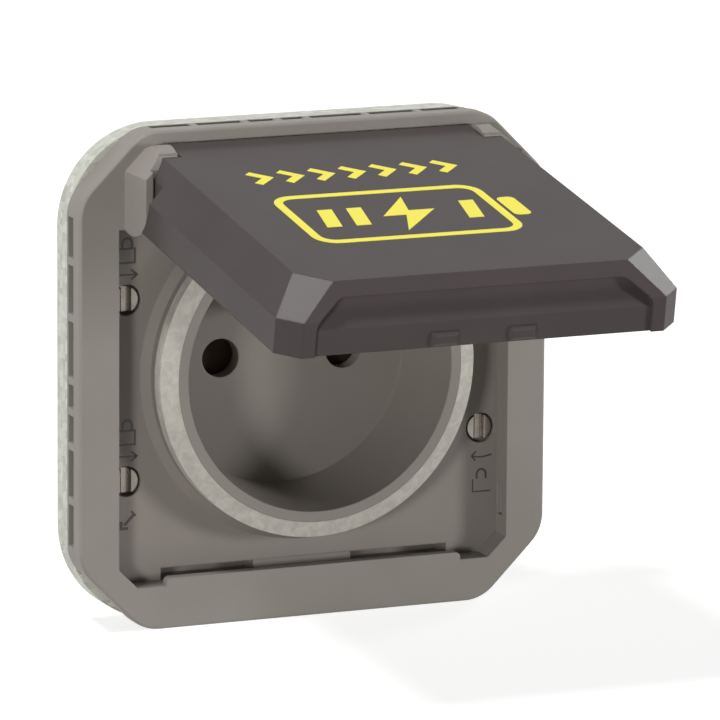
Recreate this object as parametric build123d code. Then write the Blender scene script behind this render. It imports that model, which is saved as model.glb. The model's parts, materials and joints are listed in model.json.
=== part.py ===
from build123d import *
import os
from math import cos, radians, sin

# EV charging wall socket, type E (two pins and an earth pin), for outdoor use, with its lid open.
# The moulded front frame carries a recessed cover with a deep round plug well. A sprung safety
# shutter, the contacts and the terminals sit in a round housing that enters the wall box.
# Axes: X to the right, Y into the wall, Z up. The origin is the centre of the wall plane,
# where the gasket's back face lies. "Depth" below is counted from the wall plane to the viewer.

# Front frame
FRAME_HALF = 35.6
FRAME_CORNER_LEG = 9.5
FRAME_CORNER_RADIUS = 6.0
FRAME_EDGE_RADIUS = 0.4
LIP_THICKNESS = 2.6
SKIRT_DEPTH = 3.0
SKIRT_INSET = 0.2
SKIRT_WALL = 1.6
SKIRT_RIB_WIDTH = 1.1
SKIRT_RIB_SHARES = (0.483, 0.258, 0.006, -0.118, -0.258, -0.478)
SKIRT_WINDOW_END = 12.1
SKIRT_BRIDGE = 0.5
GASKET_THICKNESS = 3.9
GASKET_SET_BACK = 0.2
GASKET_CORNER_RADIUS = 14.0
GASKET_BAND = 2.6
GASKET_LIP_BAND = 1.2
GASKET_LIP_THICKNESS = 1.0

# Window in the frame, with the ledge that the closed lid meets
SIDE_BORDER = 5.85
TOP_BORDER = 1.8
BOTTOM_BORDER = 6.2
WINDOW_LOWER_LEG = 2.8
WINDOW_UPPER_LEG = 4.4
WINDOW_WALL = 1.2
LEDGE_HEIGHT = 1.1
LEDGE_END_INSET = 7.15
LEDGE_THICKNESS = 1.5
LEDGE_END_RADIUS = 0.8
LEDGE_ROOT = 0.5
WALL_GROOVE_START = 1.6
WALL_GROOVE_WIDTH = 1.5
WALL_GROOVE_DEPTH = 0.5
WALL_GROOVE_LENGTH = 4.8
WALL_GROOVE_BOTTOM = -23.8

# Recessed floor with the plug well
RECESS_DEPTH = 3.8
FLOOR_THICKNESS = 2.0
FLOOR_CLEARANCE = 0.2
SLOT_REACH = 0.6
SLOT_END_INSET = 0.6
SLOT_TROUGH_DEPTH = 3.0
SLOT_TROUGH_WALL = 1.0
CATCH_HALF = 7.5
CATCH_SINK = 1.0
WELL_MOUTH_RADIUS = 20.1
WELL_TAPER = 1.4
WELL_DEPTH = 14.4
WELL_FLOOR_THICKNESS = 2.5
WELL_WALL = 2.2
RIM_WIDTH = 1.5
RIM_PROUD = 1.9
SEAL_WIDTH = 2.35
SEAL_EDGE_PROUD = 0.9
SEAL_THICKNESS = 2.2
COLLAR_BASE_FILLET = 1.2

# Plug interface
PIN_PITCH = 19.0
PIN_HOLE_RADIUS = 2.8
EARTH_PIN_RADIUS = 2.4
EARTH_PIN_HEIGHT = 10.0
EARTH_PIN_PROUD = 14.0
EARTH_PIN_DOME_SHARE = 0.8
EARTH_PIN_BACK = 13.0
EARTH_HOLE_CLEARANCE = 0.05

# Lid, in its own axes: along X, "reach" away from the hinge, "rise" out of its outer face
LID_OPEN_DEG = 80.5
HINGE_PROUD = 2.5
HINGE_DROP = 4.4
LID_FRONT_GAP = 0.5
LID_FLAT_RISE = 4.0
LID_BEVEL_RISE = -0.7
LID_RIM_RISE = -5.6
LID_WALL = 1.8
LID_FRONT_WALL = 3.4
LID_SIDE_CLEARANCE = 0.4
LID_SIDE_BEVEL = 3.7
LID_FRONT_BEVEL = 2.7
LID_RIM_CORNER_LEG = 2.9
LID_FLAT_CORNER_LEG = 4.2
HOLLOW_WAIST_SHARE = 0.33
TONGUE_INSET = 6.85
TONGUE_BACK = 2.6
TONGUE_EDGE_CHAMFER = 0.4
KNUCKLE_RADIUS = 2.4
SHOULDER_RADIUS = 4.9
SIDE_END_RADIUS = 8.2
LID_RIB_INSET = 0.55
LID_RIB_WALL = 1.4
LID_RIB_GAP = 0.3
SCOOP_INSET = 4.75
SCOOP_DEPTH = 2.3
SCOOP_HIGH = 2.0
SCOOP_RAMP_HIGH = 0.4
SCOOP_RAMP_LOW = -2.0
SCOOP_HOLLOW_RADIUS = 1.6
SCOOP_RIDGE_RADIUS = 0.5
SCOOP_END_SLANT = 3.8
SCOOP_SHOULDER_RISE = -1.0
SCOOP_CORNER_RADIUS = 2.2
STRIP_SINK = 0.5
NUB_OFFSET = 5.7
NUB_WIDTH = 4.2
NUB_HEIGHT = 2.1
NUB_PROUD = 0.65
NUB_ABOVE_RIM = 0.1
NUB_CHAMFER_SHARE = 0.9

# Hinge ears on the frame, and the pin through them
EAR_GAP = 0.3
EAR_CHEEK_INSET = 0.85
EAR_CHEEK_THICKNESS = 1.1
EAR_CHEEK_RADIUS = 7.9
EAR_CHEEK_PROUD = 8.0
EAR_TOP_DROP = 0.5
EAR_BLOCK_PROUD = 5.4
HINGE_PIN_RADIUS = 1.0
HINGE_PIN_END_WALL = 0.8
HINGE_CLEARANCE = 0.05

# Quarter-turn lock screws with their cams
LOCK_SIDE_GAP = 2.55
LOCK_Z_HIGH = 14.8
LOCK_Z_LOW = 11.2
LOCK_HEAD_RADIUS = 1.85
LOCK_HEAD_SINK = 0.3
LOCK_SEAT_DEPTH = 1.4
LOCK_SHANK_RADIUS = 1.3
LOCK_CLEARANCE = 0.06
LOCK_HEAD_CLEARANCE = 0.35
LOCK_SLOT_WIDTH = 1.3
LOCK_SLOT_DEPTH = 0.9
LOCK_SLOT_CHAMFER = 0.2
CAM_THICKNESS = 1.8
CAM_BACK = 3.0
CAM_HALF_WIDTH = 1.9
CAM_LENGTH = 4.2

# Housing behind the cover
HOUSING_WALL = 1.7
HOUSING_CLEARANCE = 0.3
HOUSING_BACK = 24.5
PARTITION_THICKNESS = 2.0
COVER_THICKNESS = 2.5
BOSS_RADIUS = 3.0
BOSS_INSET = 3.8
BOSS_DEG = 46.0
COVER_SCREW_RADIUS = 1.3
COVER_SCREW_HEAD_RADIUS = 2.6
COVER_SCREW_HEAD_HEIGHT = 1.4
COVER_SCREW_LENGTH = 9.0
SCREW_HOLE_CLEARANCE = 0.05
DRIVER_HOLE_RADIUS = 2.8

# Safety shutter and its spring
SHUTTER_GAP = 0.3
SHUTTER_THICKNESS = 2.1
SHUTTER_TRAVEL = 6.2
SHUTTER_HOLE_MARGIN = 1.1
SHUTTER_PAD_BELOW = 3.6
SHUTTER_BRIDGE_TOP = 3.0
SHUTTER_HOLE_RADIUS = 2.9
GUIDE_WIDTH = 1.4
GUIDE_HALF_HEIGHT = 11.0
SPRING_COIL_RADIUS = 0.9
SPRING_WIRE_RADIUS = 0.2
SPRING_LENGTH = 12.0
SPRING_TURNS = 8
SPRING_END_GAP = 0.05
SPRING_SEAT_THICKNESS = 1.5

# Contacts and terminals
CONTACT_BORE_RADIUS = 2.45
CONTACT_WALL = 0.65
CONTACT_LENGTH = 10.0
CONTACT_SLIT = 0.7
CONTACT_GAP = 0.2
TERMINAL_GAP = 0.4
TAIL_LAP = 1.0
TERMINAL_WIDTH = 7.0
TERMINAL_HEIGHT = 8.0
TERMINAL_FRONT = 14.2
TERMINAL_BACK = 23.5
WIRE_HOLE_RADIUS = 2.0
WIRE_ENTRY_RADIUS = 2.3
TERMINAL_SCREW_RADIUS = 1.5
TERMINAL_SCREW_LENGTH = 5.0
SCREW_TIP_SHARE = 0.6
TERMINAL_HEAD_RADIUS = 2.3
TERMINAL_HEAD_HEIGHT = 2.4
SCREW_SLOT_WIDTH = 0.8
SCREW_SLOT_DEPTH = 0.9
STRAP_THICKNESS = 1.2
STRAP_HALF_WIDTH = 3.0

# Magnet that a charging lead senses
MAGNET_RADIUS = 4.0
MAGNET_THICKNESS = 3.0
MAGNET_Z = -9.0
MAGNET_CLEARANCE = 0.1
MAGNET_RING_WALL = 1.0

# Sizes and planes that follow from the ones above
WINDOW_HALF = FRAME_HALF - SIDE_BORDER
WINDOW_TOP = FRAME_HALF - TOP_BORDER
WINDOW_BOTTOM = BOTTOM_BORDER - FRAME_HALF
SKIRT_HALF = FRAME_HALF - SKIRT_INSET
SKIRT_INNER_HALF = SKIRT_HALF - SKIRT_WALL
GASKET_HALF = FRAME_HALF - GASKET_SET_BACK
SKIRT_RIB_CENTRES = [share * FRAME_HALF for share in SKIRT_RIB_SHARES]
SKIRT_WINDOW_REACH = FRAME_HALF - SKIRT_WINDOW_END
LEDGE_HALF = WINDOW_HALF - LEDGE_END_INSET
SLOT_HALF = LEDGE_HALF - SLOT_END_INSET
HINGE_Z = WINDOW_TOP - HINGE_DROP
LID_REACH = HINGE_Z - WINDOW_BOTTOM - LEDGE_HEIGHT - LID_FRONT_GAP
TONGUE_HALF = WINDOW_HALF - TONGUE_INSET
EAR_CHEEK_OUTER = WINDOW_HALF - EAR_CHEEK_INSET
EAR_CHEEK_INNER = EAR_CHEEK_OUTER - EAR_CHEEK_THICKNESS
EAR_TOP_Z = WINDOW_TOP - EAR_TOP_DROP
HINGE_PIN_HALF = EAR_CHEEK_INNER - HINGE_PIN_END_WALL
LOCK_X = WINDOW_HALF - LOCK_SIDE_GAP
WELL_FLOOR_RADIUS = WELL_MOUTH_RADIUS - WELL_TAPER
WELL_BACK_RADIUS = WELL_MOUTH_RADIUS + WELL_WALL
RIM_RADIUS = WELL_MOUTH_RADIUS + RIM_WIDTH
SEAL_RADIUS = RIM_RADIUS + SEAL_WIDTH
LID_RIB_RADIUS = SEAL_RADIUS - LID_RIB_INSET
HOUSING_BORE = WELL_BACK_RADIUS + HOUSING_CLEARANCE
HOUSING_RADIUS = HOUSING_BORE + HOUSING_WALL
BOSS_RING = HOUSING_BORE - BOSS_INSET
BOSS_X = BOSS_RING * cos(radians(BOSS_DEG))
BOSS_Z = -BOSS_RING * sin(radians(BOSS_DEG))
PIN_X = PIN_PITCH / 2
CONTACT_RADIUS = CONTACT_BORE_RADIUS + CONTACT_WALL
TERMINAL_RADIUS = PIN_X + CONTACT_RADIUS + TERMINAL_GAP + TERMINAL_WIDTH / 2
SHUTTER_HALF_WIDTH = PIN_X + SHUTTER_HOLE_RADIUS + SHUTTER_HOLE_MARGIN
SHUTTER_PAD_WIDTH = 2 * (SHUTTER_HOLE_RADIUS + SHUTTER_HOLE_MARGIN)
FRONT_Y = -(GASKET_THICKNESS + SKIRT_DEPTH + LIP_THICKNESS)
LIP_BACK_Y = FRONT_Y + LIP_THICKNESS
SKIRT_BACK_Y = LIP_BACK_Y + SKIRT_DEPTH
FLOOR_Y = FRONT_Y + RECESS_DEPTH
FLOOR_BACK_Y = FLOOR_Y + FLOOR_THICKNESS
LEDGE_TOP_Z = WINDOW_BOTTOM + LEDGE_HEIGHT
RIM_Y = FRONT_Y - RIM_PROUD
SEAL_EDGE_Y = FRONT_Y - SEAL_EDGE_PROUD
SEAL_BACK_Y = SEAL_EDGE_Y + SEAL_THICKNESS
WELL_FLOOR_Y = RIM_Y + WELL_DEPTH
WELL_BACK_Y = WELL_FLOOR_Y + WELL_FLOOR_THICKNESS
SHUTTER_FRONT_Y = WELL_BACK_Y + SHUTTER_GAP
SHUTTER_BACK_Y = SHUTTER_FRONT_Y + SHUTTER_THICKNESS
PARTITION_Y = SHUTTER_BACK_Y + SHUTTER_GAP
PARTITION_BACK_Y = PARTITION_Y + PARTITION_THICKNESS
COVER_BACK_Y = HOUSING_BACK + COVER_THICKNESS
HINGE_Y = FRONT_Y - HINGE_PROUD
FLOOR_HALF = GASKET_HALF - GASKET_BAND - FLOOR_CLEARANCE
LID_HALF = WINDOW_HALF - LID_SIDE_CLEARANCE
SCOOP_HALF = LID_HALF - SCOOP_INSET
EAR_INNER = TONGUE_HALF + EAR_GAP
FAR = 200.0

# One quarter-turn lock at each corner: its name and where it stands on X and Z
LOCKS = {
    "upper_left": (-LOCK_X, LOCK_Z_LOW),
    "lower_left": (-LOCK_X, -LOCK_Z_HIGH),
    "upper_right": (LOCK_X, LOCK_Z_HIGH),
    "lower_right": (LOCK_X, -LOCK_Z_LOW),
}

# Where the wires are clamped: name, X, Z and the direction in which the screw's head points
TERMINALS = {
    "live": (-TERMINAL_RADIUS, 0.0, (0, 0, 1)),
    "neutral": (TERMINAL_RADIUS, 0.0, (0, 0, 1)),
    "earth": (0.0, TERMINAL_RADIUS, (1, 0, 0)),
}


def slab(sketch, back_y, front_y):
    """A sketch drawn on X and Z, made solid from back_y out towards the viewer at front_y."""
    return extrude(Plane.XZ.offset(-back_y) * sketch, back_y - front_y)


def rod(x, z, radius, back_y, front_y):
    """A round bar along Y at x, z."""
    return slab(Pos(x, z) * Circle(radius), back_y, front_y)


def bar(sketch, low_x, high_x):
    """A sketch drawn on Y and Z, made solid from low_x to high_x."""
    return extrude(Plane.YZ.offset(low_x) * sketch, high_x - low_x)


def box(low_x, high_x, low_y, high_y, low_z, high_z):
    """A box given by its two corners."""
    size = Box(high_x - low_x, high_y - low_y, high_z - low_z)
    return Pos((low_x + high_x) / 2, (low_y + high_y) / 2, (low_z + high_z) / 2) * size


def area(low_u, high_u, low_v, high_v):
    """A flat rectangle given by its two corners."""
    return Pos((low_u + high_u) / 2, (low_v + high_v) / 2) * Rectangle(high_u - low_u, high_v - low_v)


def eight_sided(half, leg, radius):
    """A square with cut corners whose ends are rounded."""
    outline = Rectangle(2 * half, 2 * half)
    outline = chamfer(outline.vertices(), leg)
    return fillet(outline.vertices(), radius)


def rounded_square(half, radius):
    """A square with round corners."""
    return RectangleRounded(2 * half, 2 * half, radius)


def window_outline():
    """The opening of the frame, with cut corners, before the ledge narrows it."""
    outline = area(-WINDOW_HALF, WINDOW_HALF, WINDOW_BOTTOM, WINDOW_TOP)
    low = outline.vertices().sort_by(Axis.Y)[:2]
    outline = chamfer(low, WINDOW_LOWER_LEG)
    high = outline.vertices().sort_by(Axis.Y)[-2:]
    return chamfer(high, WINDOW_UPPER_LEG)


def skirt_windows():
    """The openings along one side of the skirt, one between each two ribs."""
    edges = [SKIRT_WINDOW_REACH]
    for centre in SKIRT_RIB_CENTRES:
        edges += [centre + SKIRT_RIB_WIDTH / 2, centre - SKIRT_RIB_WIDTH / 2]
    edges.append(-SKIRT_WINDOW_REACH)
    outer = FRAME_HALF
    inner = SKIRT_INNER_HALF - 1
    holes = []
    for top, bottom in zip(edges[0::2], edges[1::2]):
        holes.append(box(-outer, -inner, LIP_BACK_Y, SKIRT_BACK_Y - SKIRT_BRIDGE, bottom, top))
    return holes


def hinge_ear(side):
    """One ear of the frame, for side -1 or 1: an outer cheek, and a block that holds the pin."""
    def along(sketch, near, far):
        low, high = sorted((side * near, side * far))
        return bar(sketch, low, high)

    swing = Pos(HINGE_Y, HINGE_Z) * Circle(EAR_CHEEK_RADIUS)
    cheek = swing & area(FRONT_Y - EAR_CHEEK_PROUD, FLOOR_Y, -FAR, EAR_TOP_Z)
    block = Pos(HINGE_Y, HINGE_Z) * Circle(SHOULDER_RADIUS - EAR_GAP)
    block += area(FRONT_Y - EAR_BLOCK_PROUD, FLOOR_Y, HINGE_Z, EAR_TOP_Z)
    block += area(FRONT_Y, FLOOR_Y, HINGE_Z - SHOULDER_RADIUS, WINDOW_TOP)
    infill = swing & area(FRONT_Y, FLOOR_Y, -FAR, WINDOW_TOP)
    backing = swing & area(LIP_BACK_Y, FLOOR_Y, -FAR, WINDOW_TOP)
    ear = along(cheek, EAR_CHEEK_INNER, EAR_CHEEK_OUTER)
    ear += along(block & area(-FAR, FLOOR_Y, -FAR, FAR), EAR_INNER, EAR_CHEEK_INNER)
    ear += along(infill, EAR_CHEEK_INNER, WINDOW_HALF)
    ear += along(backing, EAR_INNER, WINDOW_HALF)
    corner = Plane.XZ * Polygon(
        (side * (WINDOW_HALF - WINDOW_UPPER_LEG), WINDOW_TOP),
        (side * FAR, WINDOW_TOP - FAR + WINDOW_HALF - WINDOW_UPPER_LEG),
        (side * FAR, FAR),
        (side * (WINDOW_HALF - WINDOW_UPPER_LEG), FAR),
        align=None,
    )
    ear -= extrude(corner, FAR, both=True)
    pin_hole = Pos(HINGE_Y, HINGE_Z) * Circle(HINGE_PIN_RADIUS)
    return ear - along(pin_hole, EAR_INNER, HINGE_PIN_HALF)


def make_front_frame():
    """The moulded frame: front lip, windowed skirt, window walls, ledge and hinge ears."""
    lip = slab(eight_sided(FRAME_HALF, FRAME_CORNER_LEG, FRAME_CORNER_RADIUS), LIP_BACK_Y, FRONT_Y)
    lip = fillet(lip.faces().sort_by(Axis.Y)[0].edges(), FRAME_EDGE_RADIUS)
    skirt = eight_sided(SKIRT_HALF, FRAME_CORNER_LEG, FRAME_CORNER_RADIUS)
    skirt -= eight_sided(SKIRT_INNER_HALF, FRAME_CORNER_LEG, FRAME_CORNER_RADIUS - SKIRT_WALL)
    ring = slab(skirt, SKIRT_BACK_Y, LIP_BACK_Y)
    for quarter in range(4):
        for hole in skirt_windows():
            ring -= Rot(0, 90 * quarter, 0) * hole
    window = window_outline()
    wall = slab(offset(window, WINDOW_WALL, kind=Kind.INTERSECTION), FLOOR_Y, LIP_BACK_Y)
    wall = wall & slab(eight_sided(SKIRT_HALF, FRAME_CORNER_LEG, FRAME_CORNER_RADIUS), FLOOR_Y, FRONT_Y)
    frame = lip + wall + ring
    frame -= slab(window, SKIRT_BACK_Y, FRONT_Y - 1)
    ledge = area(-LEDGE_HALF, LEDGE_HALF, WINDOW_BOTTOM - LEDGE_ROOT, LEDGE_TOP_Z)
    ledge = fillet(ledge.vertices().sort_by(Axis.Y)[-2:], LEDGE_END_RADIUS)
    frame += slab(ledge, FRONT_Y + LEDGE_THICKNESS, FRONT_Y)
    for side in (-1, 1):
        frame += hinge_ear(side)
    groove_front = FRONT_Y + WALL_GROOVE_START
    groove_back = groove_front + WALL_GROOVE_WIDTH
    frame -= box(WINDOW_HALF - 1, WINDOW_HALF + WALL_GROOVE_DEPTH, groove_front, groove_back,
                 WALL_GROOVE_BOTTOM, WALL_GROOVE_BOTTOM + WALL_GROOVE_LENGTH)
    return frame


def make_wall_gasket():
    """The soft ring that seals the frame to the wall, with a thin lip inside."""
    outer = rounded_square(GASKET_HALF, GASKET_CORNER_RADIUS)
    middle = rounded_square(GASKET_HALF - GASKET_BAND, GASKET_CORNER_RADIUS - GASKET_BAND)
    band = GASKET_BAND + GASKET_LIP_BAND
    inner = rounded_square(GASKET_HALF - band, GASKET_CORNER_RADIUS - band)
    return slab(outer - middle, 0, SKIRT_BACK_Y) + slab(middle - inner, 0, -GASKET_LIP_THICKNESS)


def well_profile():
    """Half section of the collar and well on X and Y, to be turned about the Y axis."""
    return Polygon(
        (0, WELL_FLOOR_Y),
        (WELL_FLOOR_RADIUS, WELL_FLOOR_Y),
        (WELL_MOUTH_RADIUS, RIM_Y),
        (RIM_RADIUS, RIM_Y),
        (RIM_RADIUS, SEAL_BACK_Y),
        (SEAL_RADIUS, SEAL_BACK_Y),
        (SEAL_RADIUS, FLOOR_Y - COLLAR_BASE_FILLET),
        (SEAL_RADIUS + COLLAR_BASE_FILLET, FLOOR_Y),
        (SEAL_RADIUS + COLLAR_BASE_FILLET, FLOOR_BACK_Y),
        (WELL_BACK_RADIUS, FLOOR_BACK_Y),
        (WELL_BACK_RADIUS, WELL_BACK_Y),
        (0, WELL_BACK_Y),
        align=None,
    )


def make_socket_cover():
    """The recessed floor with the round collar and the plug well, moulded in one."""
    floor = rounded_square(FLOOR_HALF, GASKET_CORNER_RADIUS - GASKET_BAND - FLOOR_CLEARANCE)
    floor = floor & eight_sided(SKIRT_INNER_HALF - FLOOR_CLEARANCE, FRAME_CORNER_LEG,
                                FRAME_CORNER_RADIUS - SKIRT_WALL)
    cover = slab(floor, FLOOR_BACK_Y, FLOOR_Y)
    slot_top = LEDGE_TOP_Z + SLOT_REACH
    trough_y = FLOOR_BACK_Y + SLOT_TROUGH_DEPTH
    slot = area(-SLOT_HALF, SLOT_HALF, WINDOW_BOTTOM, slot_top)
    trough = offset(slot, SLOT_TROUGH_WALL, kind=Kind.INTERSECTION)
    cover += slab(trough, trough_y, FLOOR_BACK_Y)
    cover -= slab(slot, trough_y - SLOT_TROUGH_WALL, FLOOR_Y)
    catch = area(-CATCH_HALF, CATCH_HALF, WINDOW_BOTTOM, slot_top)
    cover += slab(catch, trough_y, FLOOR_Y + CATCH_SINK)
    cover -= rod(0, 0, WELL_BACK_RADIUS, FLOOR_BACK_Y, FLOOR_Y)
    cover += revolve(well_profile(), Axis.Y)
    for side in (-1, 1):
        cover -= rod(side * PIN_X, 0, PIN_HOLE_RADIUS, WELL_BACK_Y, WELL_FLOOR_Y)
    earth_hole = EARTH_PIN_RADIUS + EARTH_HOLE_CLEARANCE
    cover -= rod(0, EARTH_PIN_HEIGHT, earth_hole, WELL_BACK_Y, WELL_FLOOR_Y)
    for x, z in LOCKS.values():
        cover -= rod(x, z, LOCK_SHANK_RADIUS + LOCK_CLEARANCE, FLOOR_BACK_Y, FLOOR_Y)
        cover -= rod(x, z, LOCK_HEAD_RADIUS + LOCK_HEAD_CLEARANCE, FLOOR_Y + LOCK_SEAT_DEPTH, FLOOR_Y)
    return cover


def make_collar_seal():
    """The pale ring round the rim that the closed lid presses on."""
    section = Polygon(
        (RIM_RADIUS, RIM_Y),
        (SEAL_RADIUS, SEAL_EDGE_Y),
        (SEAL_RADIUS, SEAL_BACK_Y),
        (RIM_RADIUS, SEAL_BACK_Y),
        align=None,
    )
    return revolve(section, Axis.Y)


def lid_outline(half, front, corner_leg, back):
    """An outline on the lid's own X and Y: straight at the hinge, cut corners at the front."""
    return Polygon(
        (-half, back),
        (-half, -front + corner_leg),
        (-half + corner_leg, -front),
        (half - corner_leg, -front),
        (half, -front + corner_leg),
        (half, back),
        align=None,
    )


def lid_body(inset, front_inset, low, high):
    """The lid's outer form, or its hollow when it is inset: an upright rim below a bevelled top."""
    half = LID_HALF - inset
    front = LID_REACH - front_inset
    rim = lid_outline(half, front, LID_RIM_CORNER_LEG, TONGUE_BACK)
    waist = LID_BEVEL_RISE - inset * HOLLOW_WAIST_SHARE
    flat = lid_outline(half - LID_SIDE_BEVEL, front - LID_FRONT_BEVEL, LID_FLAT_CORNER_LEG, TONGUE_BACK)
    upright = extrude(Pos(0, 0, low) * rim, waist - low)
    bevel = loft([Pos(0, 0, waist) * rim, Pos(0, 0, high) * flat], ruled=True)
    return upright + bevel


def lid_end_cuts():
    """What clears the ears: arcs about the hinge at the lid's two ends, and all behind them."""
    cuts = []
    for side in (-1, 1):
        for radius, near, far in (
            (SHOULDER_RADIUS, TONGUE_HALF, EAR_CHEEK_INNER - EAR_GAP),
            (SIDE_END_RADIUS, EAR_CHEEK_INNER - EAR_GAP, LID_HALF + 1),
        ):
            low, high = sorted((side * near, side * far))
            round_end = bar(Circle(radius), low, high)
            cuts += [round_end, box(low, high, 0, FAR, -FAR, FAR)]
    return cuts


def lid_scoop():
    """What is cut from the front: a hollow finger grip that runs out over a ridge to a sunk strip."""
    below = LID_RIM_RISE - 1
    outline = Polygon(
        (-SCOOP_HALF, below),
        (SCOOP_HALF, below),
        (SCOOP_HALF, SCOOP_SHOULDER_RISE),
        (SCOOP_HALF - SCOOP_END_SLANT, SCOOP_HIGH),
        (SCOOP_END_SLANT - SCOOP_HALF, SCOOP_HIGH),
        (-SCOOP_HALF, SCOOP_SHOULDER_RISE),
        align=None,
    )
    outline = fillet(outline.vertices().sort_by(Axis.Y)[-4:], SCOOP_CORNER_RADIUS)
    back = SCOOP_DEPTH - LID_REACH
    strip = STRIP_SINK - LID_REACH
    section = Polygon(
        (-FAR, below),
        (strip, below),
        (strip, SCOOP_RAMP_LOW),
        (back, SCOOP_RAMP_HIGH),
        (back, SCOOP_HIGH),
        (-FAR, SCOOP_HIGH),
        align=None,
    )
    section = fillet(section.vertices().sort_by_distance((back, SCOOP_RAMP_HIGH))[:1], SCOOP_HOLLOW_RADIUS)
    section = fillet(section.vertices().sort_by_distance((strip, SCOOP_RAMP_LOW))[:1], SCOOP_RIDGE_RADIUS)
    return bar(section, -SCOOP_HALF, SCOOP_HALF) & extrude(Plane.XZ * outline, FAR)


def lid_nubs():
    """The two small snap nubs on the front strip."""
    nubs = []
    for side in (-1, 1):
        nub = box(
            side * NUB_OFFSET - NUB_WIDTH / 2,
            side * NUB_OFFSET + NUB_WIDTH / 2,
            -LID_REACH + STRIP_SINK - NUB_PROUD,
            -LID_REACH + LID_FRONT_WALL / 2,
            LID_RIM_RISE + NUB_ABOVE_RIM,
            LID_RIM_RISE + NUB_ABOVE_RIM + NUB_HEIGHT,
        )
        front_edges = nub.faces().sort_by(Axis.Y)[0].edges()
        nubs.append(chamfer(front_edges, NUB_PROUD * NUB_CHAMFER_SHARE))
    return nubs


def lid_place():
    """The lid's own axes in the model, at the angle at which it stands open."""
    turn = radians(LID_OPEN_DEG)
    outward = (0, -cos(turn), sin(turn))
    return Plane(origin=(0, HINGE_Y, HINGE_Z), x_dir=(1, 0, 0), z_dir=outward)


def make_lid():
    """The open lid: a bevelled shell with a sealing rib, a finger grip and a hinge barrel."""
    lid = lid_body(0, 0, LID_RIM_RISE, LID_FLAT_RISE)
    hollow = lid_body(LID_WALL, LID_FRONT_WALL, LID_RIM_RISE - 1, LID_FLAT_RISE - LID_WALL)
    lid -= hollow & box(-FAR, FAR, -FAR, 0, -FAR, FAR)
    lid -= box(-LID_HALF, LID_HALF, -TONGUE_BACK, FAR, -FAR, 0)
    for cut in lid_end_cuts():
        lid -= cut
    barrel = Circle(KNUCKLE_RADIUS) + area(-TONGUE_BACK, TONGUE_BACK, 0, LID_FLAT_RISE)
    barrel = chamfer(barrel.vertices().sort_by_distance((TONGUE_BACK, LID_FLAT_RISE))[:1],
                     TONGUE_EDGE_CHAMFER)
    lid += bar(barrel, -TONGUE_HALF, TONGUE_HALF)
    rib_end = RIM_PROUD + LID_RIB_GAP - HINGE_PROUD
    rib = Circle(LID_RIB_RADIUS) - Circle(LID_RIB_RADIUS - LID_RIB_WALL)
    roof = LID_FLAT_RISE - LID_WALL
    lid += extrude(Pos(0, -HINGE_Z, rib_end) * rib, roof - rib_end)
    lid -= lid_scoop()
    for nub in lid_nubs():
        lid += nub
    lid -= bar(Circle(HINGE_PIN_RADIUS + HINGE_CLEARANCE), -FAR, FAR)
    return lid_place().location * lid


def make_hinge_pin():
    """The steel pin that the lid turns on."""
    pin = Pos(HINGE_Y, HINGE_Z) * Circle(HINGE_PIN_RADIUS)
    return bar(pin, -HINGE_PIN_HALF, HINGE_PIN_HALF)


def make_lock_screw(x, z):
    """A slotted quarter-turn screw, its head sunk a little below the floor."""
    head_y = FLOOR_Y + LOCK_HEAD_SINK
    screw = rod(x, z, LOCK_HEAD_RADIUS, FLOOR_Y + LOCK_SEAT_DEPTH, head_y)
    screw += rod(x, z, LOCK_SHANK_RADIUS, CAM_BACK, head_y)
    slot = area(x - LOCK_SLOT_WIDTH / 2, x + LOCK_SLOT_WIDTH / 2, z - LOCK_HEAD_RADIUS, z + LOCK_HEAD_RADIUS)
    screw -= slab(slot, head_y + LOCK_SLOT_DEPTH, head_y)
    for side in (-1, 1):
        edge = side * LOCK_SLOT_WIDTH / 2
        bevel = Polygon(
            (x + edge, head_y),
            (x + edge + side * LOCK_SLOT_CHAMFER, head_y),
            (x + edge, head_y + LOCK_SLOT_CHAMFER),
            align=None,
        )
        screw -= extrude(Plane.XY.offset(z) * bevel, LOCK_HEAD_RADIUS, both=True)
    return screw


def make_lock_cam(x, z):
    """The claw on the end of a lock screw, which points outwards when it is locked."""
    outward = 1 if x > 0 else -1
    claw = Circle(CAM_HALF_WIDTH) + Pos(outward * CAM_LENGTH / 2, 0) * Rectangle(
        CAM_LENGTH, 2 * CAM_HALF_WIDTH)
    claw -= Circle(LOCK_SHANK_RADIUS)
    return slab(Pos(x, z) * claw, CAM_BACK, CAM_BACK - CAM_THICKNESS)


def make_shutter():
    """The sliding plate that covers both pin holes until a plug pushes it down."""
    plate = area(-SHUTTER_HALF_WIDTH, SHUTTER_HALF_WIDTH, -SHUTTER_PAD_BELOW, SHUTTER_BRIDGE_TOP)
    pad_top = SHUTTER_TRAVEL + SHUTTER_PAD_BELOW
    for side in (-1, 1):
        low, high = sorted((side * SHUTTER_HALF_WIDTH, side * (SHUTTER_HALF_WIDTH - SHUTTER_PAD_WIDTH)))
        plate += area(low, high, -SHUTTER_PAD_BELOW, pad_top)
        plate -= Pos(side * PIN_X, SHUTTER_TRAVEL) * Circle(SHUTTER_HOLE_RADIUS)
    return slab(plate, SHUTTER_BACK_Y, SHUTTER_FRONT_Y)


def spring_span():
    """The lowest and highest level of the shutter's spring at rest."""
    high = -SHUTTER_PAD_BELOW - SPRING_END_GAP
    return high - SPRING_LENGTH, high


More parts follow.
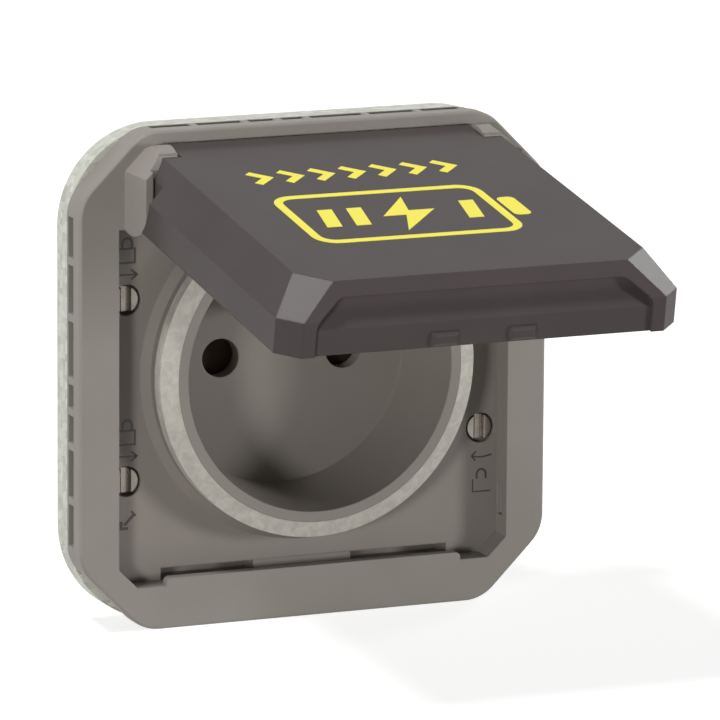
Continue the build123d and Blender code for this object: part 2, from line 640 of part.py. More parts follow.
def make_shutter_spring():
    """The coil spring that pushes the shutter up."""
    low, high = spring_span()
    height = high - low - 2 * SPRING_WIRE_RADIUS
    centre_y = (SHUTTER_FRONT_Y + SHUTTER_BACK_Y) / 2
    path = Helix(pitch=height / SPRING_TURNS, height=height, radius=SPRING_COIL_RADIUS)
    start = Plane(origin=path @ 0, z_dir=path % 0)
    coil = sweep(start * Circle(SPRING_WIRE_RADIUS), path=path, is_frenet=True)
    return Pos(0, centre_y, low + SPRING_WIRE_RADIUS) * coil


def make_mechanism_housing():
    """The round housing behind the cover, with a partition that carries the contacts."""
    shell = Circle(HOUSING_RADIUS) - Circle(HOUSING_BORE)
    housing = slab(shell, HOUSING_BACK, FLOOR_BACK_Y)
    housing += rod(0, 0, HOUSING_BORE, PARTITION_BACK_Y, PARTITION_Y)
    for side in (-1, 1):
        near = side * (SHUTTER_HALF_WIDTH + SHUTTER_GAP)
        low, high = sorted((near, near + side * GUIDE_WIDTH))
        guide = area(low, high, -GUIDE_HALF_HEIGHT, GUIDE_HALF_HEIGHT)
        housing += slab(guide, PARTITION_Y, WELL_BACK_Y)
        housing += rod(side * BOSS_X, BOSS_Z, BOSS_RADIUS, HOUSING_BACK, PARTITION_BACK_Y)
        housing -= rod(side * PIN_X, 0, PIN_HOLE_RADIUS, PARTITION_BACK_Y, PARTITION_Y)
        thread = COVER_SCREW_RADIUS + SCREW_HOLE_CLEARANCE
        housing -= rod(side * BOSS_X, BOSS_Z, thread, HOUSING_BACK, PARTITION_BACK_Y)
    spring_low = spring_span()[0]
    seat = area(-SHUTTER_PAD_WIDTH / 2, SHUTTER_PAD_WIDTH / 2, spring_low - SPRING_SEAT_THICKNESS, spring_low)
    housing += slab(seat, PARTITION_Y, WELL_BACK_Y)
    earth_hole = EARTH_PIN_RADIUS + EARTH_HOLE_CLEARANCE
    housing -= rod(0, EARTH_PIN_HEIGHT, earth_hole, PARTITION_BACK_Y, PARTITION_Y)
    ring = Circle(MAGNET_RADIUS + MAGNET_CLEARANCE + MAGNET_RING_WALL) - Circle(
        MAGNET_RADIUS + MAGNET_CLEARANCE)
    housing += slab(Pos(0, MAGNET_Z) * ring, PARTITION_BACK_Y + MAGNET_THICKNESS, PARTITION_BACK_Y)
    middle_y = (TERMINAL_FRONT + TERMINAL_BACK) / 2
    for side in (-1, 1):
        driver = Pos(side * TERMINAL_RADIUS, middle_y) * Circle(DRIVER_HOLE_RADIUS)
        housing -= extrude(driver, FAR)
    driver = Pos(middle_y, TERMINAL_RADIUS) * Circle(DRIVER_HOLE_RADIUS)
    return housing - bar(driver, 0, FAR)


def make_rear_cover():
    """The disc that closes the housing, with an entry for each wire."""
    cover = rod(0, 0, HOUSING_RADIUS, COVER_BACK_Y, HOUSING_BACK)
    for x, z, _ in TERMINALS.values():
        cover -= rod(x, z, WIRE_ENTRY_RADIUS, COVER_BACK_Y, HOUSING_BACK)
    for side in (-1, 1):
        x = side * BOSS_X
        cover -= rod(x, BOSS_Z, COVER_SCREW_RADIUS + SCREW_HOLE_CLEARANCE, COVER_BACK_Y, HOUSING_BACK)
        head = COVER_SCREW_HEAD_RADIUS + SCREW_HOLE_CLEARANCE
        cover -= rod(x, BOSS_Z, head, COVER_BACK_Y, COVER_BACK_Y - COVER_SCREW_HEAD_HEIGHT)
    return cover


def make_cover_screws():
    """The two screws that hold the rear cover on the housing."""
    screws = []
    seat_y = COVER_BACK_Y - COVER_SCREW_HEAD_HEIGHT
    for side in (-1, 1):
        x = side * BOSS_X
        screw = rod(x, BOSS_Z, COVER_SCREW_HEAD_RADIUS, COVER_BACK_Y, seat_y)
        screw += rod(x, BOSS_Z, COVER_SCREW_RADIUS, seat_y, seat_y - COVER_SCREW_LENGTH)
        slot = area(x - FRAME_HALF, x + FRAME_HALF, BOSS_Z - SCREW_SLOT_WIDTH / 2,
                    BOSS_Z + SCREW_SLOT_WIDTH / 2)
        screws.append(screw - slab(slot, COVER_BACK_Y + 1, COVER_BACK_Y - SCREW_SLOT_DEPTH))
    return Compound(children=[screw.solid() for screw in screws])


def make_earth_pin():
    """The round earth pin with its domed tip."""
    tip_y = WELL_FLOOR_Y - EARTH_PIN_PROUD
    pin = rod(0, EARTH_PIN_HEIGHT, EARTH_PIN_RADIUS, EARTH_PIN_BACK, tip_y)
    return fillet(pin.faces().sort_by(Axis.Y)[0].edges(), EARTH_PIN_RADIUS * EARTH_PIN_DOME_SHARE)


def make_earth_strap():
    """The brass strip from the earth pin to its terminal."""
    low = EARTH_PIN_HEIGHT - EARTH_PIN_RADIUS
    strip = area(-STRAP_HALF_WIDTH, STRAP_HALF_WIDTH, low, TERMINAL_RADIUS)
    return slab(strip, TERMINAL_FRONT, TERMINAL_FRONT - STRAP_THICKNESS)


def make_contact(side):
    """A slit brass sleeve for one plug pin, with a tail to its terminal."""
    front = PARTITION_BACK_Y + CONTACT_GAP
    sleeve = Circle(CONTACT_RADIUS) - Circle(CONTACT_BORE_RADIUS)
    slit = area(-CONTACT_RADIUS, CONTACT_RADIUS, -CONTACT_SLIT / 2, CONTACT_SLIT / 2)
    sleeve -= slit & Pos(-side * CONTACT_RADIUS, 0) * Circle(CONTACT_RADIUS)
    contact = slab(Pos(side * PIN_X, 0) * sleeve, front + CONTACT_LENGTH, front)
    block_x = side * (TERMINAL_RADIUS - TERMINAL_WIDTH / 2)
    low, high = sorted((side * (PIN_X + CONTACT_RADIUS - CONTACT_WALL / 2), block_x))
    tail = area(low, high, -STRAP_HALF_WIDTH, STRAP_HALF_WIDTH)
    return contact + slab(tail, front + CONTACT_LENGTH, TERMINAL_FRONT + TAIL_LAP)


def make_terminal(x, z, up):
    """A brass block with a wire hole and a threaded hole for its clamping screw."""
    depth = TERMINAL_BACK - TERMINAL_FRONT
    upright = up[2] == 1
    wide = TERMINAL_WIDTH if upright else TERMINAL_HEIGHT
    tall = TERMINAL_HEIGHT if upright else TERMINAL_WIDTH
    block = Pos(x, (TERMINAL_FRONT + TERMINAL_BACK) / 2, z) * Box(wide, depth, tall)
    block -= rod(x, z, WIRE_HOLE_RADIUS, TERMINAL_BACK, TERMINAL_FRONT)
    return block - clamp_bar(x, z, up, TERMINAL_SCREW_RADIUS + SCREW_HOLE_CLEARANCE, 0, FAR)


def clamp_bar(x, z, up, radius, start, length):
    """A round bar along a terminal screw's axis, from start above the wire's centre."""
    middle = Vector(x, (TERMINAL_FRONT + TERMINAL_BACK) / 2, z)
    base = Plane(origin=middle + Vector(*up) * start, z_dir=up)
    return extrude(base * Circle(radius), length)


def make_terminal_screw(x, z, up):
    """The slotted screw that clamps one wire."""
    start = WIRE_HOLE_RADIUS * SCREW_TIP_SHARE
    head_start = start + TERMINAL_SCREW_LENGTH
    screw = clamp_bar(x, z, up, TERMINAL_SCREW_RADIUS, start, TERMINAL_SCREW_LENGTH)
    screw += clamp_bar(x, z, up, TERMINAL_HEAD_RADIUS, head_start, TERMINAL_HEAD_HEIGHT)
    top = head_start + TERMINAL_HEAD_HEIGHT
    middle = Vector(x, (TERMINAL_FRONT + TERMINAL_BACK) / 2, z)
    base = Plane(origin=middle + Vector(*up) * top, z_dir=up)
    return screw - extrude(base * Rectangle(SCREW_SLOT_WIDTH, FRAME_HALF), -SCREW_SLOT_DEPTH)


def make_coding_magnet():
    """The round magnet behind the partition."""
    return rod(0, MAGNET_Z, MAGNET_RADIUS, PARTITION_BACK_Y + MAGNET_THICKNESS, PARTITION_BACK_Y)


def make_parts():
    """Every piece of the socket by the name of its node."""
    parts = {
        "front_frame": make_front_frame(),
        "wall_gasket": make_wall_gasket(),
        "socket_cover": make_socket_cover(),
        "collar_seal": make_collar_seal(),
        "lid": make_lid(),
        "hinge_pin": make_hinge_pin(),
        "shutter": make_shutter(),
        "shutter_spring": make_shutter_spring(),
        "mechanism_housing": make_mechanism_housing(),
        "rear_cover": make_rear_cover(),
        "cover_screws": make_cover_screws(),
        "earth_pin": make_earth_pin(),
        "earth_strap": make_earth_strap(),
        "contact_live": make_contact(-1),
        "contact_neutral": make_contact(1),
        "coding_magnet": make_coding_magnet(),
    }
    for name, (x, z) in LOCKS.items():
        parts["lock_screw_" + name] = make_lock_screw(x, z)
        parts["lock_cam_" + name] = make_lock_cam(x, z)
    for name, (x, z, up) in TERMINALS.items():
        parts["terminal_" + name] = make_terminal(x, z, up)
        parts["terminal_screw_" + name] = make_terminal_screw(x, z, up)
    return parts


os.makedirs("parts", exist_ok=True)
for node, shape in make_parts().items():
    export_step(shape, f"parts/{node}.step")
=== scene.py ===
import json
import math

import bmesh
import bpy
from mathutils import Matrix, Vector


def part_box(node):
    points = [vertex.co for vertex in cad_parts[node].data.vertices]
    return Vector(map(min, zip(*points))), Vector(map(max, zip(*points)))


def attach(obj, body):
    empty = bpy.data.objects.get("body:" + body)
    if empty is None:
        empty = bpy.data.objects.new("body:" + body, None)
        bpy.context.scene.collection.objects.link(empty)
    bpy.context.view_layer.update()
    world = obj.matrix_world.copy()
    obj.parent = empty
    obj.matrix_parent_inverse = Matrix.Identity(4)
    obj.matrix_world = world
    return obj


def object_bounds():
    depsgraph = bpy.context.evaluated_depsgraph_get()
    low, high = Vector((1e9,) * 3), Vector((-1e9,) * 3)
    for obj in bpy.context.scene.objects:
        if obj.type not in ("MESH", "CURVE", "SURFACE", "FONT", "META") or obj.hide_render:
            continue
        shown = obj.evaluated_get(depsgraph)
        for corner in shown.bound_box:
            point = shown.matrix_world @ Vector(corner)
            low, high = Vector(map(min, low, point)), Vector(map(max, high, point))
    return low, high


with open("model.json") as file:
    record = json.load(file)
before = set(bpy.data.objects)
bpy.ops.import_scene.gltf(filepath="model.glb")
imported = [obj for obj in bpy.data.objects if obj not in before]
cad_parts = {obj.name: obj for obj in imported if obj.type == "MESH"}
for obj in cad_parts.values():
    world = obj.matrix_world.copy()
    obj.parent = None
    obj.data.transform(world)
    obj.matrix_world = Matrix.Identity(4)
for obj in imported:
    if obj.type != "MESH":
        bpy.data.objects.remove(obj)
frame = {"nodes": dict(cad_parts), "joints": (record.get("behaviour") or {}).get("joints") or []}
cad_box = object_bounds()
lid_hinge = next(joint for joint in frame["joints"] if joint["name"] == "lid_hinge")

bl_info = {
    "name": "EV charging wall socket",
    "version": (1, 0, 0),
    "blender": (4, 5, 0),
    "location": "View3D > Sidebar > Wall socket",
    "description": "Finishes, prints and signs for an outdoor wall socket that charges electric vehicles",
    "category": "Object",
}

MM = 0.001
LOCKS = ("upper_left", "lower_left", "upper_right", "lower_right")
TERMINALS = ("live", "neutral", "earth")

# Patterns, in millimetres: the grain of moulded plastic is near 0.1, a glass fibre near 0.3 and a tool mark
# near 0.05, which is too fine to show, so these are drawn as coarse as they need to be
SHOWN_GRAIN = 0.3
SHOWN_INK_GRAIN = 0.35
SHOWN_FIBRE = 0.5
SHOWN_TOOL_MARK = 0.12
COLOUR_DRIFT = 14.0
GASKET_CELL, GASKET_DRIFT = 1.0, 2.0
SEAL_SWIRL = 1.3
PLATING_SPOT, TARNISH_SPOT = 0.7, 3.0

# A wave pattern repeats about three times in the length of one cell
WAVES_IN_CELL = 3.0

# How round the edges look, in millimetres
PLASTIC_EDGE = 0.25
METAL_EDGE = 0.15

# The print in millimetres on the lid's face: X across from its middle, Y from the hinge line, and the
# bar and the chevron each about its own middle
BATTERY = ((-17.0, -40.0), (12.6, -22.0))
BATTERY_CORNER = 2.6
BATTERY_CAP = ((13.8, -34.6), (16.4, -27.4))
BATTERY_CAP_CORNER = 0.9
BOLT = ((0.9, -24.6), (-4.6, -31.6), (-1.2, -31.6), (-3.4, -37.6), (3.6, -30.0), (-0.2, -30.0))
BAR = ((-1.1, -3.4), (1.1, -3.4), (2.3, 3.4), (0.1, 3.4))
BAR_PITCH = 4.3
LEFT_BARS = (-12.9, -31.0)
RIGHT_BARS = (8.1, -31.0)
CHEVRON = ((-1.1, 2.2), (1.1, 0.0), (-1.1, -2.2))
CHEVRON_PITCH = 4.6
FIRST_CHEVRON = (-15.4, -13.6)

# The signs in millimetres about the middle of their lock: the widths of their lines and their thickness
HAIR, FINE, PLAIN, STRONG, BROAD = 0.2, 0.24, 0.3, 0.34, 0.42
SIGN_THICKNESS = 0.02

# Drawing: the least cosine of half a corner's turn at which its mitre still grows, the steps in a round
# corner and in a padlock's bow, and the height of the bow's legs in millimetres
LEAST_MITRE = 0.35
CORNER_STEPS, BOW_STEPS = 6, 10
BOW_LEG = 0.7

# The camera: its angles in degrees, its lengths in millimetres and its shift in pixels of the picture
CAMERA_YAW, CAMERA_RISE, CAMERA_ROLL = 23.18, 11.46, 0.40
CAMERA_DISTANCE = 1000.0
CAMERA_AIM = (0, -20, 0)
SENSOR_WIDTH = 36.0
PICTURE_WIDTH = 720
PIXELS_PER_MM = 7.15
SHIFT_RIGHT, SHIFT_UP = 15.11, 23.64

# Each lamp's place and size in metres and its level
LAMPS = (
    ("left_lamp", (-0.85, -0.85, 0.08), 0.25, 0.48),
    ("right_lamp", (0.98, -0.69, 0.08), 0.25, 0.53),
    ("top_lamp", (-0.41, -0.07, 0.96), 0.22, 0.76),
    ("edge_lamp", (1.00, 0.45, 0.48), 0.3, 0.22),
)

# The floor in metres, and its glow near the object and beyond the reach of the lamps
FLOOR_RADIUS = 3.0
GLOW_NEAR, GLOW_FAR = 0.8, 1.0
GLOW_RISES_FROM, GLOW_RISES_TO = 0.5, 1.2

# The surroundings' strength as light and where they are seen
LIGHT_AROUND = 0.03
WHITE_AROUND = 1.0


# Shared helpers


def linear(hex_colour):
    """An sRGB hex colour as linear red, green, blue and alpha."""
    parts = [int(hex_colour[i : i + 2], 16) / 255 for i in (1, 3, 5)]
    return tuple([c / 12.92 if c <= 0.04045 else ((c + 0.055) / 1.055) ** 2.4 for c in parts] + [1.0])


def add_node(tree, kind, settings=None, values=None, links=None):
    """Adds a node with its settings and socket values, and links its inputs."""
    node = tree.nodes.new(kind)
    for name, value in (settings or {}).items():
        setattr(node, name, value)
    for name, value in (values or {}).items():
        node.inputs[name].default_value = value
    for name, socket in (links or {}).items():
        tree.links.new(socket, node.inputs[name])
    return node


def empty_material(name):
    """A material and its tree with no node in it."""
    material = bpy.data.materials.new(name)
    material.use_nodes = True
    material.node_tree.nodes.clear()
    return material, material.node_tree


def new_material(name, **shader_values):
    """A material with its tree, its shader with plain values on its sockets, and the object's own place."""
    material, tree = empty_material(name)
    values = {key.replace("_", " "): value for key, value in shader_values.items()}
    shader = add_node(tree, "ShaderNodeBsdfPrincipled", values=values)
    add_node(tree, "ShaderNodeOutputMaterial", links={"Surface": shader.outputs["BSDF"]})
    return material, tree, shader, add_node(tree, "ShaderNodeTexCoord").outputs["Object"]


def two_tone(tree, shader, factor, low, high, start=0.3, end=0.7):
    """Colours the surface from low to high as the factor runs from start to end."""
    ramp = add_node(tree, "ShaderNodeValToRGB", links={"Fac": factor})
    for element, position, colour in zip(ramp.color_ramp.elements, (start, end), (low, high)):
        element.position = position
        element.color = colour
    tree.links.new(ramp.outputs["Color"], shader.inputs["Base Color"])


def uneven_sheen(tree, shader, factor, low, high):
    """Takes the surface's roughness from low to high as the factor runs from 0 to 1."""
    spread = add_node(tree, "ShaderNodeMapRange", links={"Value": factor},
                      values={"To Min": low, "To Max": high})
    tree.links.new(spread.outputs["Result"], shader.inputs["Roughness"])


def relief(tree, shader, height, strength, depth_mm, edge_mm=None):
    """Gives the surface a fine relief and, where edge_mm is given, edges that look rounded by it."""
    links = {"Height": height}
    if edge_mm:
        rounded = add_node(tree, "ShaderNodeBevel", settings={"samples": 4}, values={"Radius": edge_mm * MM})
        links["Normal"] = rounded.outputs["Normal"]
    bump = add_node(tree, "ShaderNodeBump", links=links,
                    values={"Strength": strength, "Distance": depth_mm * MM})
    tree.links.new(bump.outputs["Normal"], shader.inputs["Normal"])


def cells_per_metre(size_mm):
    """The texture scale at which one cell or grain is that many millimetres."""
    return 1.0 / (size_mm * MM)


def dress(names, material):
    """Gives CAD nodes one material."""
    for name in names:
        data = frame["nodes"][name].data
        data.materials.clear()
        data.materials.append(material)


def new_piece(name, mesh, material, body):
    """An object for a finished mesh, dressed and riding on a body."""
    obj = bpy.data.objects.new(name, mesh)
    bpy.context.scene.collection.objects.link(obj)
    mesh.materials.clear()
    mesh.materials.append(material)
    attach(obj, body)
    return obj


def seen_ray(tree):
    """1 for a ray from the camera, a gloss or a clear part, and 0 for one that carries plain light."""
    path = add_node(tree, "ShaderNodeLightPath")
    through = add_node(tree, "ShaderNodeMath", settings={"operation": "MAXIMUM"},
                       links={0: path.outputs["Is Glossy Ray"], 1: path.outputs["Is Transmission Ray"]})
    seen = add_node(tree, "ShaderNodeMath", settings={"operation": "MAXIMUM"},
                    links={0: path.outputs["Is Camera Ray"], 1: through.outputs[0]})
    return seen.outputs[0]


def toned(colour, share):
    """A linear colour made that many times as bright."""
    return tuple([c * share for c in colour[:3]] + [1.0])


# Materials, each for what the real surface is


def moulded_plastic(name, colour, roughness, gloss):
    """ASA moulded in a spark-eroded tool: a fine even grain that breaks the gloss into a soft sheen."""
    material, tree, shader, place = new_material(name, IOR=1.52, Specular_IOR_Level=gloss)
    grain = add_node(tree, "ShaderNodeTexNoise", links={"Vector": place}, values={
        "Scale": cells_per_metre(SHOWN_GRAIN), "Detail": 3.0, "Roughness": 0.6}).outputs["Fac"]
    flow = add_node(tree, "ShaderNodeTexNoise", links={"Vector": place}, values={
        "Scale": cells_per_metre(COLOUR_DRIFT), "Detail": 2.0}).outputs["Fac"]
    two_tone(tree, shader, flow, toned(colour, 0.96), toned(colour, 1.05))
    uneven_sheen(tree, shader, grain, roughness - 0.08, roughness + 0.1)
    relief(tree, shader, grain, strength=0.22, depth_mm=0.02, edge_mm=PLASTIC_EDGE)
    return material


def cloudy_elastomer(name, pale, dull):
    """Unfilled soft elastomer: light goes into it, and the cells moulded behind the face show as blocks."""
    material, tree, shader, place = new_material(
        name, IOR=1.48, Roughness=0.38, Subsurface_Weight=0.35, Subsurface_Radius=(0.9, 1.0, 0.8),
        Subsurface_Scale=1.2 * MM, Transmission_Weight=0.12)
    drift = add_node(tree, "ShaderNodeTexNoise", links={"Vector": place}, values={
        "Scale": cells_per_metre(GASKET_DRIFT)}).outputs["Fac"]
    cells = add_node(tree, "ShaderNodeTexVoronoi", settings={"distance": "CHEBYCHEV"},
                     values={"Scale": cells_per_metre(GASKET_CELL), "Randomness": 0.55},
                     links={"Vector": place})
    grey = add_node(tree, "ShaderNodeSeparateColor", links={"Color": cells.outputs["Color"]})
    blend = add_node(tree, "ShaderNodeMix", values={"Factor": 0.55},
                     links={"A": grey.outputs["Red"], "B": drift})
    two_tone(tree, shader, blend.outputs["Result"], dull, pale, 0.2, 0.75)
    relief(tree, shader, drift, strength=0.15, depth_mm=0.05)
    return material


def marbled_elastomer(name, pale, dull):
    """Pale seal rubber with a cloudy swirl from the moulding flow and a satin skin."""
    material, tree, shader, place = new_material(
        name, IOR=1.48, Subsurface_Weight=0.2, Subsurface_Radius=(1.0, 0.95, 0.85), Subsurface_Scale=0.8 * MM)
    swirl = add_node(tree, "ShaderNodeTexNoise", links={"Vector": place}, values={
        "Scale": cells_per_metre(SEAL_SWIRL), "Detail": 4.0, "Distortion": 0.8}).outputs["Fac"]
    two_tone(tree, shader, swirl, dull, pale, 0.35, 0.68)
    uneven_sheen(tree, shader, swirl, 0.42, 0.6)
    relief(tree, shader, swirl, strength=0.2, depth_mm=0.04)
    return material


def turned_metal(name, bright, dull, roughness, mark_mm=SHOWN_TOOL_MARK, spot_mm=PLATING_SPOT):
    """Turned or drawn metal: fine parallel tool marks catch the light, with dull spots from the plating."""
    material, tree, shader, place = new_material(name, Metallic=1.0)
    bands = {"bands_direction": "Z"}
    marks = add_node(tree, "ShaderNodeTexWave", settings=bands, links={"Vector": place}, values={
        "Scale": cells_per_metre(mark_mm) / WAVES_IN_CELL, "Distortion": 1.5, "Detail": 2.0}).outputs["Fac"]
    spots = add_node(tree, "ShaderNodeTexNoise", links={"Vector": place}, values={
        "Scale": cells_per_metre(spot_mm), "Detail": 3.0}).outputs["Fac"]
    two_tone(tree, shader, spots, dull, bright, 0.25, 0.6)
    uneven_sheen(tree, shader, spots, roughness + 0.12, roughness - 0.06)
    relief(tree, shader, marks, strength=0.12, depth_mm=0.01, edge_mm=METAL_EDGE)
    return material


def fibre_nylon(name, colour):
    """Glass-filled nylon: short fibres lie along the flow and leave a faint streaked, matt skin."""
    material, tree, shader, place = new_material(name, IOR=1.53)
    along_flow = add_node(tree, "ShaderNodeMapping", values={"Scale": (1.0, 0.18, 1.0)},
                          links={"Vector": place}).outputs["Vector"]
    fibres = add_node(tree, "ShaderNodeTexNoise", links={"Vector": along_flow}, values={
        "Scale": cells_per_metre(SHOWN_FIBRE), "Detail": 3.0}).outputs["Fac"]
    two_tone(tree, shader, fibres, toned(colour, 0.8), toned(colour, 1.3))
    uneven_sheen(tree, shader, fibres, 0.5, 0.68)
    relief(tree, shader, fibres, strength=0.2, depth_mm=0.03, edge_mm=PLASTIC_EDGE)
    return material


def ink_and_painted_shade(name, colour):
    """Pad-printed ink, and the painted shade of the engraved signs: a thin, even, slightly glossy film that
    takes the grain of the plastic under it.
    """
    material, tree, shader, place = new_material(name, IOR=1.5)
    grain = add_node(tree, "ShaderNodeTexNoise", links={"Vector": place}, values={
        "Scale": cells_per_metre(SHOWN_INK_GRAIN), "Detail": 2.0}).outputs["Fac"]
    two_tone(tree, shader, grain, toned(colour, 0.96), colour)
    uneven_sheen(tree, shader, grain, 0.32, 0.5)
    relief(tree, shader, grain, strength=0.15, depth_mm=0.01)
    return material


# Flat drawings, made on their own X and Y in millimetres


def ribbon(sheet, points, width, closed):
    """Adds a line of even width along points, with mitred corners."""
    count = len(points)
    pairs = []
    for i, point in enumerate(points):
        here = Vector(point)
        before = Vector(points[i - 1]) if closed or i else None
        after = Vector(points[(i + 1) % count]) if closed or i < count - 1 else None
        into = (here - before).normalized() if before is not None else (after - here).normalized()
        out = (after - here).normalized() if after is not None else into
        side = Vector((-into.y - out.y, into.x + out.x)).normalized()
        reach = width / 2 / max(LEAST_MITRE, side.dot(Vector((-into.y, into.x))))
        pairs.append([sheet.verts.new((*(here + side * s * reach), 0)) for s in (1, -1)])
    for i in range(count if closed else count - 1):
        a, b = pairs[i], pairs[(i + 1) % count]
        sheet.faces.new((a[0], a[1], b[1], b[0]))


def patch(sheet, points):
    """Adds a filled outline."""
    sheet.faces.new([sheet.verts.new((x, y, 0)) for x, y in points])


def arc(x, y, radius, start, end, steps):
    """Points along an arc, with its angles in degrees."""
    turn = [math.radians(start + (end - start) * i / steps) for i in range(steps + 1)]
    return [(x + radius * math.cos(t), y + radius * math.sin(t)) for t in turn]


def round_corners(low, high, radius):
    """The outline of a rectangle with round corners."""
    left, right, bottom, top = low[0] + radius, high[0] - radius, low[1] + radius, high[1] - radius
    points = []
    for quarter, (x, y) in enumerate(((right, top), (left, top), (left, bottom), (right, bottom))):
        points += arc(x, y, radius, 90 * quarter, 90 * quarter + 90, CORNER_STEPS)
    return points


def padlock_bow(x, y, radius):
    """Points along a padlock's bow, whose legs start at y to both sides of x."""
    return [(x - radius, y)] + arc(x, y + BOW_LEG, radius, 180, 0, BOW_STEPS) + [(x + radius, y)]


def film(name, thickness, lines=(), patches=()):
    """A mesh in millimetres from lines (points, width, closed) and patches, with a thickness upwards."""
    sheet = bmesh.new()
    for points, width, closed in lines:
        ribbon(sheet, points, width, closed)
    for points in patches:
        patch(sheet, points)
    bmesh.ops.remove_doubles(sheet, verts=sheet.verts, dist=1e-4)
    top = bmesh.ops.extrude_face_region(sheet, geom=sheet.faces[:])
    raised = [item for item in top["geom"] if isinstance(item, bmesh.types.BMVert)]
    bmesh.ops.translate(sheet, verts=raised, vec=(0, 0, thickness))
    bmesh.ops.recalc_face_normals(sheet, faces=sheet.faces)
    mesh = bpy.data.meshes.new(name)
    sheet.to_mesh(mesh)
    sheet.free()
    return mesh


def row_tree():
    """A node tree that repeats a mark in a row along X, with inputs for count, pitch and finish."""
    tree = bpy.data.node_groups.new("Row of marks", "GeometryNodeTree")
    tree.is_modifier = True
    for name, kind in (("Mark", "Geometry"), ("Count", "Int"), ("Pitch", "Float"), ("Finish", "Material")):
        tree.interface.new_socket(name, in_out="INPUT", socket_type="NodeSocket" + kind)
    tree.interface.new_socket("Row", in_out="OUTPUT", socket_type="NodeSocketGeometry")
    entry = add_node(tree, "NodeGroupInput")
    step = add_node(tree, "ShaderNodeCombineXYZ", links={"X": entry.outputs["Pitch"]})
    line = add_node(tree, "GeometryNodeMeshLine", settings={"mode": "OFFSET"},
                    links={"Count": entry.outputs["Count"], "Offset": step.outputs["Vector"]})
    marks = add_node(tree, "GeometryNodeInstanceOnPoints",
                     links={"Points": line.outputs["Mesh"], "Instance": entry.outputs["Mark"]})
    real = add_node(tree, "GeometryNodeRealizeInstances", links={"Geometry": marks.outputs["Instances"]})
    dressed = add_node(tree, "GeometryNodeSetMaterial",
                       links={"Geometry": real.outputs["Geometry"], "Material": entry.outputs["Finish"]})
    add_node(tree, "NodeGroupOutput", links={"Row": dressed.outputs["Geometry"]})
    return tree


def repeated(name, mesh, count, pitch, material):
    """A plain mesh in which the given one is repeated in a row along X."""
    maker = bpy.data.objects.new(name + "_maker", mesh)
    bpy.context.scene.collection.objects.link(maker)
    tree = row_tree()
    modifier = maker.modifiers.new("Row", "NODES")
    modifier.node_group = tree
    inputs = {"Count": count, "Pitch": pitch, "Finish": material}
    for item in tree.interface.items_tree:
        if item.name in inputs:
            modifier[item.identifier] = inputs[item.name]
    bpy.context.view_layer.update()
    evaluated = maker.evaluated_get(bpy.context.evaluated_depsgraph_get())
    result = bpy.data.meshes.new_from_object(evaluated)
    result.name = name
    maker.modifiers.remove(modifier)
    bpy.data.objects.remove(maker)
    return result


def onto_plane(middle, up, out):
    """From a drawing in millimetres to the model, with its X across, its Y along up and its Z along out."""
    axes = Matrix(((1, 0, 0), up, out)).transposed().to_4x4()
    return Matrix.Translation(Vector(middle)) @ axes @ Matrix.Scale(MM, 4)


def onto_lid(settings):
    """From a drawing to the lid's flat face, with Y towards the hinge."""
    rise, run = math.sin(settings.lid_open), math.cos(settings.lid_open)
    plane = onto_plane(settings.hinge, up=(0, rise, run), out=(0, -run, rise))
    return plane @ Matrix.Translation((0, 0, settings.lid_face / MM))


def onto_floor(settings, node):
    """From a drawing to the recessed floor, about the middle of a lock."""
    low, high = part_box(node)
    middle = ((low[0] + high[0]) / 2, settings.floor_depth, (low[2] + high[2]) / 2)
    return onto_plane(middle, up=(0, 0, 1), out=(0, -1, 0))


# What a user can set


